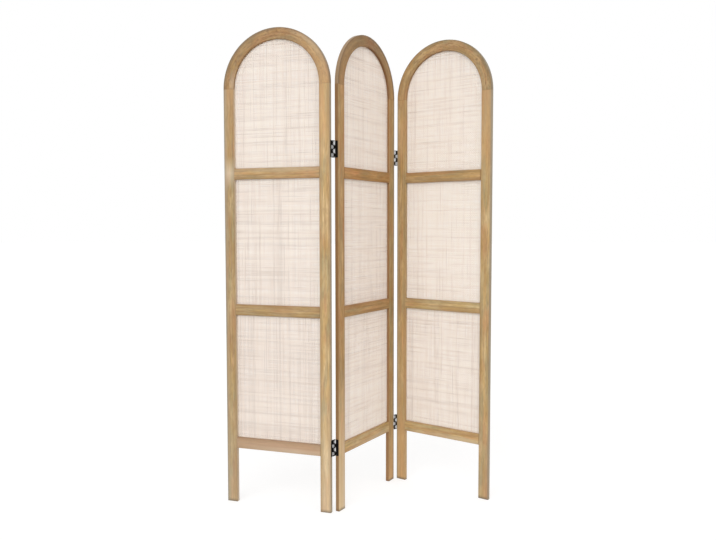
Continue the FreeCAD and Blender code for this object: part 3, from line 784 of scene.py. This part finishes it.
@dataclass
class Panel:
    """One arched panel: where it stands and how its wooden members are finished."""

    name: str
    depth: Vector = field(init=False)
    heading: float = field(init=False)
    matrix: Matrix = field(init=False)

    def __post_init__(self) -> None:
        """Work out the panel's own frame from the two feet that the record names."""
        feet = {mount["name"]: Vector(mount["pos_m"]) for mount in frame["record"]["mounts"]}
        left = feet[self.node("left_foot")]
        across = (feet[self.node("right_foot")] - left).normalized()
        self.depth = Vector((-across.y, across.x, 0.0))
        self.heading = math.atan2(across.y, across.x)
        origin = left - across * STILE_WIDTH / 2 - self.depth * PANEL_THICKNESS / 2
        self.matrix = Matrix.Translation(origin) @ Matrix.Rotation(self.heading, 4, "Z")

    @property
    def body(self) -> str:
        """The body that carries the panel's pieces."""
        return f"{self.name}_panel"

    def node(self, piece: str) -> str:
        """The full name of one of the panel's CAD nodes or mounts."""
        return f"{self.name}_panel_{piece}"

    def points(self, piece: str) -> list[Vector]:
        """The corner points of one of the panel's CAD nodes, in the panel's frame."""
        inverse = self.matrix.inverted()
        return [inverse @ vertex.co for vertex in frame["nodes"][self.node(piece)].data.vertices]

    def box(self, piece: str) -> tuple[Vector, Vector]:
        """The lowest and the highest corner of one of the panel's CAD nodes, in the panel's frame."""
        return corners(self.points(piece))

    def members(self) -> list[Member]:
        """The wooden members of the frame, with their middle lines worked out from their CAD boxes.

        Returns:
            The members.
        """
        found = []
        half = STILE_WIDTH / 2
        for side, inner, outwards in (("left", 1, -1.0), ("right", 0, 1.0)):
            arch = self.box(f"{side}_arch")
            springing = arch[0].z
            bend = arch[1].z - springing - half
            hub = Vector((arch[inner].x, PANEL_THICKNESS / 2, springing))
            across = half if side == "left" else self.box("right_stile")[1].x - half
            centre = Vector((across, PANEL_THICKNESS / 2, 0.0))
            found.append(self.member(f"{side}_stile", centre, len(found), seams=(springing,),
                                     outwards=outwards, ends=(DARK_FOOT_ENDS,)))
            found.append(self.member(f"{side}_arch", hub, ARCH_NUMBER, bend=bend, outwards=1.0,
                                     seams=(outwards * bend * math.pi / 2,), shortness=ARCH_SHORTNESS,
                                     flecks=ARCH_FLECKS))
        clear = self.box("right_stile")[0].x - self.box("left_stile")[1].x
        for rail in RAIL_NAMES:
            low, high = self.box(f"{rail}_rail")
            member = self.member(f"{rail}_rail", (low + high) / 2, len(found), grain=Grain.LEVEL)
            # One rail's right end gets the painted shadow of a slightly open joint.
            if member.board.shadowed_open_end:
                member = replace(member, seams=(clear / 2,), seam_width=OPEN_JOINT_SHADOW_WIDTH)
            found.append(member)
        return found

    def member(self, piece: str, centre: Vector, number: int, **rest: Any) -> Member:
        """One member with its own board, whose number moves its figure, so that its neighbours differ."""
        seed = PANEL_NAMES.index(self.name) * PANEL_SHIFT + number * MEMBER_SHIFT
        return Member(piece, centre, seed, BOARDS.get(f"{self.name}_{piece}", PLAIN_BOARD), **rest)

    def dress(self) -> None:
        """Give each wooden member its finish, with the fibres along it."""
        for member in self.members():
            dress(self.node(member.piece), FRAME_WOOD.material(self, member))
        for piece, finish in (("retaining_beads", BEAD_WOOD), ("dowels", DOWEL_WOOD)):
            dress(self.node(piece), finish.material(self, self.member(piece, Vector(), 0)))
        LOG.info("%s: wooden members dressed", self.body)


@dataclass
class Strand:
    """One strand of the weave: its line, width and colour."""

    place: float
    width: float
    tone: float
    wander: float
    phase: float


@dataclass
class WovenSheet:
    """The sheet of one bay: flat strands woven over and under, stretched behind the frame's lip."""

    panel: Panel
    bay: str
    material: Material
    seed: int
    pitch: float = 0.0042
    share: float = 0.70
    jitter: float = 0.1
    widths: tuple[float, float] = (0.78, 1.2)
    thickness: float = 0.0006
    sides: int = 4
    wander: float = 0.0004
    wanders: tuple[float, float] = (0.2, 1.0)
    bow_rate: float = 17.0
    swell: float = 0.13
    swell_rate: float = 41.0
    swell_phases: float = 3.0
    likeness: float = 0.2
    middle_tone: float = 0.6
    hidden_edge: float = 0.007
    # Beside the frame the sheet is painted lighter: painted light against the shade of the frame's lip.
    edge_painted_light: float = -0.3
    edge_reach: float = 0.012

    def __post_init__(self) -> None:
        """Read the sheet's corners and start the draw of strands."""
        self.low, self.high = self.panel.box(f"{self.bay}_webbing")
        self.width = self.high.x - self.low.x
        self.height = self.high.z - self.low.z
        self.random = random.Random(self.seed)
        self.painted_shading = SHEET_SHADING[f"{self.panel.name}_{self.bay}"]
        self.arched = self.bay == BAY_NAMES[-1]
        self.middle = (self.low.x + self.high.x) / 2
        self.radius = self.width / 2
        self.springing = self.high.z - self.radius
        self.tubes: dict[int, Mesh] = {}

    @property
    def arched_area(self) -> float:
        """The flat area of a sheet with an arched top, as it was cut."""
        return self.width * (self.springing - self.low.z) + math.pi * self.radius ** 2 / 2

    def top_at(self, x: float) -> float:
        """How high an upright strand reaches."""
        rise = math.sqrt(max(self.radius ** 2 - (x - self.middle) ** 2, 0.0))
        return self.springing + rise if self.arched else self.high.z

    def span_at(self, z: float) -> tuple[float, float]:
        """From where to where a level strand runs.

        Args:
            z: Its height.

        Returns:
            Its two ends.
        """
        if not self.arched or z <= self.springing:
            return self.low.x, self.high.x
        reach = math.sqrt(max(self.radius ** 2 - (z - self.springing) ** 2, 0.0))
        return self.middle - reach, self.middle + reach

    def painted_shading_at(self, x: float, z: float) -> float:
        """How much darker the sheet is painted at a place: painted light and shade that changes from foot to
        top, and painted light beside the frame against the shade of its lip.

        Args:
            x: The place across the panel.
            z: The place up the panel.

        Returns:
            The stain there.
        """
        rise = (z - self.low.z) / self.height
        left, right = self.span_at(z)
        inside = min(x - left, right - x, z - self.low.z, self.top_at(x) - z) - self.hidden_edge
        beside = 1.0 - min(max(inside / self.edge_reach, 0.0), 1.0)
        return self.painted_shading.foot + (self.painted_shading.top - self.painted_shading.foot) * rise + self.edge_painted_light * beside

    def draw_strands(self, low: float, high: float) -> list[Strand]:
        """Lay out the strands of one direction.

        Args:
            low: Where the sheet starts.
            high: Where it ends.

        Returns:
            The strands in order.
        """
        count = round((high - low) / self.pitch)
        step = (high - low) / count
        strands = []
        tone = self.middle_tone
        draw = self.random
        for index in range(count):
            place = low + (index + 1 / 2 + draw.uniform(-self.jitter, self.jitter)) * step
            width = step * self.share * draw.uniform(*self.widths)
            tone = tone * self.likeness + draw.random() * self.middle_tone * 2 * (1.0 - self.likeness)
            wander = self.wander * draw.uniform(*self.wanders)
            strands.append(Strand(place, width, tone, wander, draw.uniform(0.0, math.tau)))
        return strands

    def tube(self, rings: int) -> Mesh:
        """A tube with a ring for each crossing, one unit apart, kept for later strands.

        Args:
            rings: How many rings it has.

        Returns:
            The tube's mesh.
        """
        if rings not in self.tubes:
            tube = bmesh.new()
            length = rings - 1
            bmesh.ops.create_cone(tube, cap_ends=True, segments=self.sides, radius1=1.0, radius2=1.0,
                                  depth=length)
            uprights = [edge for edge in tube.edges if edge.verts[0].co.z != edge.verts[1].co.z]
            bmesh.ops.subdivide_edges(tube, edges=uprights, cuts=rings - 2, use_grid_fill=True)
            bmesh.ops.translate(tube, verts=tube.verts, vec=(0.0, 0.0, length / 2))
            self.tubes[rings] = settled(tube, "strand_tube")
        return self.tubes[rings]

    def weave(self, sheet: Shape, run: Run, number: int, strand: Strand, stops: Sequence[float],
              first_over: bool) -> None:
        """Add one strand to the sheet, over and under the strands that it crosses.

        Args:
            sheet: The sheet so far.
            run: Which way the strand runs.
            number: The strand's number, which sets its fibres apart.
            strand: Its line, width and colour.
            stops: Its ends and its crossings, in order along it.
            first_over: Whether it passes in front at its first crossing.
        """
        along = Vector(run.value)
        aside = along.zyx
        front = Vector((0.0, -1.0, 0.0))
        across = front.cross(along)
        middle = Vector((0.0, (self.low.y + self.high.y) / 2, 0.0))
        lift = self.thickness / 2
        piece = bmesh.new()
        piece.from_mesh(self.tube(len(stops)))
        tones = piece.verts.layers.float.new("strand_tone")
        shadings = piece.verts.layers.float.new("sheet_painted_shading")
        places = piece.verts.layers.float_vector.new("strand_place")
        for vertex in piece.verts:
            side, face, ring = vertex.co.x, vertex.co.y, round(vertex.co.z)
            is_end = ring in (0, len(stops) - 1)
            over = 0 if is_end else (1 if (ring % 2 == 1) == first_over else -1)
            stop = stops[ring]
            bow = strand.wander * math.sin(strand.phase + stop * self.bow_rate)
            swell = 1.0 + self.swell * math.sin(strand.phase * self.swell_phases + stop * self.swell_rate)
            line = middle + along * stop + aside * (strand.place + bow) + front * (lift * over)
            vertex.co = line + across * (side * strand.width * swell / 2) + front * (face * lift)
            vertex[tones] = strand.tone
            vertex[shadings] = self.painted_shading_at(line.x, line.z)
            vertex[places] = Vector((side, number, stop))
        strip = settled(piece, "strip")
        sheet.from_mesh(strip)
        bpy.data.meshes.remove(strip)

    def build(self) -> None:
        """Weave the sheet and set it in its bay."""
        warp = self.draw_strands(self.low.x, self.high.x)
        weft = self.draw_strands(self.low.z, self.high.z)
        sheet = bmesh.new()
        for index, strand in enumerate(warp):
            top = self.top_at(strand.place)
            crossed = [other.place for other in weft if self.low.z < other.place < top]
            stops = [self.low.z, *crossed, max(top, crossed[-1] + self.thickness)]
            self.weave(sheet, Run.WARP, index, strand, stops, index % 2 == 0)
        for index, strand in enumerate(weft):
            start, end = self.span_at(strand.place)
            inside = [number for number, other in enumerate(warp) if start < other.place < end]
            if inside:
                stops = [start, *(warp[number].place for number in inside), end]
                self.weave(sheet, Run.WEFT, len(warp) + index, strand, stops, (index + inside[0]) % 2 == 1)
        mesh = settled(sheet, f"{self.panel.name}_{self.bay}_woven_sheet")
        for tube in self.tubes.values():
            bpy.data.meshes.remove(tube)
        self.tubes.clear()
        mesh.transform(self.panel.matrix)
        mesh.shade_smooth()
        piece = new_piece(mesh, self.material, self.panel.body)
        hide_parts(self.panel.node(f"{self.bay}_webbing"))
        self.panel.node("retaining_beads")


@dataclass
class BeadBrads:
    """Small domed brads that pin one panel's retaining beads at the back."""

    panel: Panel
    sheets: Sequence[WovenSheet]
    material: Material
    pitch: float = 0.105
    corner: float = 0.022
    bead_half: float = 0.003
    radius: float = 0.0009
    dome: float = 0.3
    segments: int = 10
    rings: int = 6

    def head(self) -> Mesh:
        """One brad's head, a flattened ball that the bead half swallows.

        Returns:
            The head's mesh.
        """
        ball = bmesh.new()
        bmesh.ops.create_uvsphere(ball, u_segments=self.segments, v_segments=self.rings, radius=self.radius)
        bmesh.ops.scale(ball, verts=ball.verts, vec=(1.0, self.dome, 1.0))
        return settled(ball, "brad_head")

    def lines(self, sheet: WovenSheet) -> list[tuple[float, float]]:
        """Where the brads of one bay go, along the middle of its beads.

        Args:
            sheet: The bay's sheet, which the beads hold.

        Returns:
            Places across and up the panel.
        """
        left, right = sheet.low.x + self.bead_half, sheet.high.x - self.bead_half
        bottom, top = sheet.low.z + self.bead_half, sheet.high.z - self.bead_half
        upper = sheet.springing if sheet.arched else top
        heights = spaced(bottom + self.corner, upper - self.corner, self.pitch)
        found = [(x, z) for x in (left, right) for z in heights]
        rows = (bottom,) if sheet.arched else (bottom, top)
        found += [(x, z) for z in rows for x in spaced(left + self.corner, right - self.corner, self.pitch)]
        if sheet.arched:
            reach = sheet.radius - self.bead_half
            turn = self.corner / reach
            angles = spaced(turn, math.pi - turn, self.pitch / reach)
            found += [(sheet.middle + reach * math.cos(angle), sheet.springing + reach * math.sin(angle))
                      for angle in angles]
        return found

    def build(self) -> None:
        """Pin the beads of all the panel's bays, with the brads as one piece."""
        back = self.panel.box("retaining_beads")[1].y
        spots = [Vector((x, back, z)) for sheet in self.sheets for x, z in self.lines(sheet)]
        places = [self.panel.matrix @ Matrix.Translation(spot) for spot in spots]
        mesh = repeated(f"{self.panel.body}_bead_brads", self.head(), places)
        mesh.shade_smooth()
        new_piece(mesh, self.material, self.panel.body)


@dataclass
class HingeScrews:
    """The countersunk cross-head screws of one panel's hinge leaves."""

    panel: Panel
    material: Material
    shank_radius: float = 0.0016
    head_depth: float = 0.0012
    tip: float = 0.0022
    tip_share: float = 0.2
    rim: float = 0.0008
    slot_half: float = 0.00034
    slot_depth: float = 0.0008
    segments: int = 20
    tolerance: float = 1e-7
    spin_rate: float = 100.0

    @property
    def head_radius(self) -> float:
        """The radius of the head's face."""
        return self.shank_radius + self.head_depth

    def shape(self, length: float) -> Mesh:
        """One screw along x, with its head's face at the origin.

        Args:
            length: From the face to the tip.

        Returns:
            The screw's mesh.
        """
        screw = bmesh.new()
        bmesh.ops.create_circle(screw, cap_ends=True, segments=self.segments, radius=self.head_radius)
        border = list(screw.edges)
        bmesh.ops.inset_region(screw, faces=list(screw.faces), thickness=self.rim, use_even_offset=True)
        self.cut_cross(screw)
        sections = ((self.head_depth, self.shank_radius / self.head_radius),
                    (length - self.head_depth - self.tip, 1.0), (self.tip, self.tip_share))
        for advance, narrowing in sections:
            border = self.grow(screw, border, advance, narrowing)
        bmesh.ops.edgeloop_fill(screw, edges=border)
        bmesh.ops.recalc_face_normals(screw, faces=screw.faces)
        bmesh.ops.rotate(screw, verts=screw.verts, matrix=Matrix.Rotation(math.pi / 2, 3, "Y"))
        return settled(screw, "screw")

    def cut_cross(self, screw: Shape) -> None:
        """Sink the cross recess into the middle of the head's face.

        Args:
            screw: The screw, with only its face so far.
        """
        for normal in (Vector((1.0, 0.0, 0.0)), Vector((0.0, 1.0, 0.0))):
            for place in (-self.slot_half, self.slot_half):
                inner = self.inner_faces(screw)
                parts = dict.fromkeys(inner)
                for face in inner:
                    parts.update(dict.fromkeys([*face.edges, *face.verts]))
                bmesh.ops.bisect_plane(screw, geom=list(parts), dist=self.tolerance, plane_no=normal,
                                       plane_co=normal * place)
        arms = []
        for face in self.inner_faces(screw):
            centre = face.calc_center_median()
            if min(abs(centre.x), abs(centre.y)) < self.slot_half:
                arms.append(face)
        sunk = bmesh.ops.extrude_face_region(screw, geom=arms)
        bottom = [item for item in sunk["geom"] if isinstance(item, bmesh.types.BMVert)]
        bmesh.ops.translate(screw, verts=bottom, vec=(0.0, 0.0, self.slot_depth))
        bmesh.ops.delete(screw, geom=arms, context="FACES")

    def inner_faces(self, screw: Shape) -> list[bmesh.types.BMFace]:
        """The faces of the head that lie inside its rim."""
        reach = self.head_radius - self.rim / 2
        return [face for face in screw.faces if all(vertex.co.length < reach for vertex in face.verts)]

    @staticmethod
    def grow(screw: Shape, border: list[bmesh.types.BMEdge], advance: float,
             narrowing: float) -> list[bmesh.types.BMEdge]:
        """Carry the screw's open rim further along and narrow it.

        Args:
            screw: The screw so far.
            border: The open rim.
            advance: How far along to carry it.
            narrowing: What to multiply its radius by.

        Returns:
            The new open rim.
        """
        grown = bmesh.ops.extrude_edge_only(screw, edges=border)["geom"]
        ring = [item for item in grown if isinstance(item, bmesh.types.BMVert)]
        bmesh.ops.translate(screw, verts=ring, vec=(0.0, 0.0, advance))
        bmesh.ops.scale(screw, verts=ring, vec=(narrowing, narrowing, 1.0))
        edges = [item for item in grown if isinstance(item, bmesh.types.BMEdge)]
        return [edge for edge in edges if set(ring).issuperset(edge.verts)]

    def build(self) -> None:
        """Drive a screw where each CAD screw is, with the screws as one piece."""
        points = self.panel.points("hinge_screws")
        middle = (self.panel.box("left_stile")[0].x + self.panel.box("right_stile")[1].x) / 2
        places = []
        length = 0.0
        for is_left in (True, False):
            for group in self.groups([point for point in points if (point.x < middle) == is_left]):
                low, high = corners(group)
                length = high.x - low.x
                centre = (low + high) / 2
                face = Matrix.Translation((low.x if is_left else high.x, centre.y, centre.z))
                turn = Matrix.Rotation(0.0 if is_left else math.pi, 4, "Z")
                spin = Matrix.Rotation(centre.z * self.spin_rate, 4, "X")
                places.append(self.panel.matrix @ face @ turn @ spin)
        mesh = repeated(f"{self.panel.body}_cross_head_screws", self.shape(length), places)
        piece = new_piece(mesh, self.material, self.panel.body)
        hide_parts(self.panel.node("hinge_screws"))

    def groups(self, points: Sequence[Vector]) -> list[list[Vector]]:
        """Sort the points of several screws by height into one group for each screw.

        Args:
            points: The points of the screws on one edge of the panel.

        Returns:
            The groups.
        """
        found: list[list[Vector]] = []
        for point in sorted(points, key=lambda item: item.z):
            if not found or point.z - found[-1][-1].z > self.shank_radius * 2:
                found.append([])
            found[-1].append(point)
        return found


@dataclass
class Hinge:
    """One black two-pin hinge, dressed as its CAD pieces stand."""

    name: str

    def dress(self, black: Material, steel: Material) -> None:
        """Give the leaves, links and pins their finishes.

        Args:
            black: The coat of the leaves and links.
            steel: The finish of the pins.
        """
        for piece in ("side_leaf", "middle_leaf", "links"):
            dress(f"{self.name}_hinge_{piece}", black)
        dress(f"{self.name}_hinge_pins", steel)
        LOG.info("%s hinge dressed", self.name)


@dataclass(frozen=True)
class Lamp:
    """A broad soft light from one direction."""

    name: str
    strength: float
    softness: float
    comes_from: Vector
    colour: tuple[float, float, float] = WHITE[:3]

    def hang(self) -> None:
        """Put the lamp into the scene."""
        light = bpy.data.lights.new(self.name, "SUN")
        light.energy = self.strength
        light.color = self.colour
        light.angle = math.radians(self.softness)
        lamp = placed(self.name, light)
        lamp.rotation_mode = "QUATERNION"
        lamp.rotation_quaternion = self.comes_from.to_track_quat("Z", "Y")


@dataclass
class Studio:
    """The pale floor, the soft light and the camera."""

    floor_half: float = 40.0
    floor_drop: float = 0.0004
    floor_pale: float = 0.8
    floor_shown: float = 0.36
    floor_glow: float = 0.70
    ambient: float = 0.69
    lamps: tuple[Lamp, ...] = (
        Lamp("key", 1.4, 55.0, Vector((-0.30, -0.82, 0.48))),
        Lamp("fill", 0.62, 90.0, Vector((0.80, -0.50, 0.35)), (1.0, 0.86, 0.78)))
    camera_place: tuple[float, float, float] = (-0.0030, -2.7488, 1.0095)
    camera_pitch: float = 0.059
    camera_roll: float = -0.001
    focal_pixels: float = 742.1
    picture_width: int = 716
    sensor: float = 36.0

    def build(self) -> None:
        """Set up everything round the object."""
        self.light_world()
        for lamp in self.lamps:
            lamp.hang()
        self.lay_floor()
        self.set_camera()
        bpy.context.scene.view_settings.view_transform = "Standard"

    @staticmethod
    def backdrop(tree: ShaderTree, lighting: Node, shown: Node) -> Node:
        """One shader for what lights the object, and another for rays that show the backdrop itself.

        Args:
            tree: The tree to add to.
            lighting: The shader for all other rays.
            shown: The shader that is seen by the camera, in a reflection or through glass.

        Returns:
            The two as one shader.
        """
        path = tree.add("LightPath").outputs
        seen = path["Is Camera Ray"]
        for name in ("Is Glossy Ray", "Is Transmission Ray"):
            seen = tree.math("MAXIMUM", seen, path[name])
        return tree.add("MixShader", None, (seen, lighting.outputs[0], shown.outputs[0]))

    def light_world(self) -> None:
        """Even light from all round, with a white backdrop."""
        tree = ShaderTree(bpy.data.worlds.new("studio"))
        light = tree.add("Background", Color=WHITE, Strength=self.ambient)
        shown = tree.add("Background", Color=WHITE)
        bpy.context.scene.world = tree.finish(self.backdrop(tree, light, shown))

    def lay_floor(self) -> None:
        """A wide pale floor that keeps the object's shadow."""
        plane = bmesh.new()
        bmesh.ops.create_grid(plane, x_segments=1, y_segments=1, size=self.floor_half,
                              matrix=Matrix.Translation((0.0, 0.0, -self.floor_drop)))
        floor = placed("floor", settled(plane, "floor"))
        tree = ShaderTree(bpy.data.materials.new("pale_floor"))
        pale = tree.add("BsdfDiffuse", Color=shaded(WHITE, self.floor_pale))
        shown = tree.add("BsdfDiffuse", Color=shaded(WHITE, self.floor_shown))
        glow = tree.add("Emission", Color=WHITE, Strength=self.floor_glow)
        lit = tree.add("AddShader", None, (shown.outputs[0], glow.outputs[0]))
        floor.data.materials.append(tree.finish(self.backdrop(tree, pale, lit)))

    def set_camera(self) -> None:
        """The camera at the photograph's place and angle."""
        lens = bpy.data.cameras.new("camera")
        lens.sensor_width = self.sensor
        lens.lens = self.focal_pixels * self.sensor / self.picture_width
        camera = placed("camera", lens)
        tilt = Matrix.Rotation(math.pi / 2 - self.camera_pitch, 4, "X")
        roll = Matrix.Rotation(self.camera_roll, 4, "Z")
        camera.matrix_world = Matrix.Translation(self.camera_place) @ tilt @ roll
        bpy.context.scene.camera = camera


def main() -> None:
    """Build and dress everything in order."""
    logging.basicConfig(level=logging.INFO, format="%(name)s: %(message)s")
    rattan = RATTAN.material()
    screws = SCREW_STEEL.material()
    for number, name in enumerate(PANEL_NAMES):
        panel = Panel(name)
        panel.dress()
        first = number * len(BAY_NAMES)
        sheets = [WovenSheet(panel, bay, rattan, seed=first + index) for index, bay in enumerate(BAY_NAMES)]
        for sheet in sheets:
            sheet.build()
        BeadBrads(panel, sheets, screws).build()
        HingeScrews(panel, screws).build()
    black = HINGE_BLACK.material()
    steel = PIN_STEEL.material()
    for name in HINGE_NAMES:
        Hinge(name).dress(black, steel)
    Studio().build()


if __name__ == "__main__":
    main()
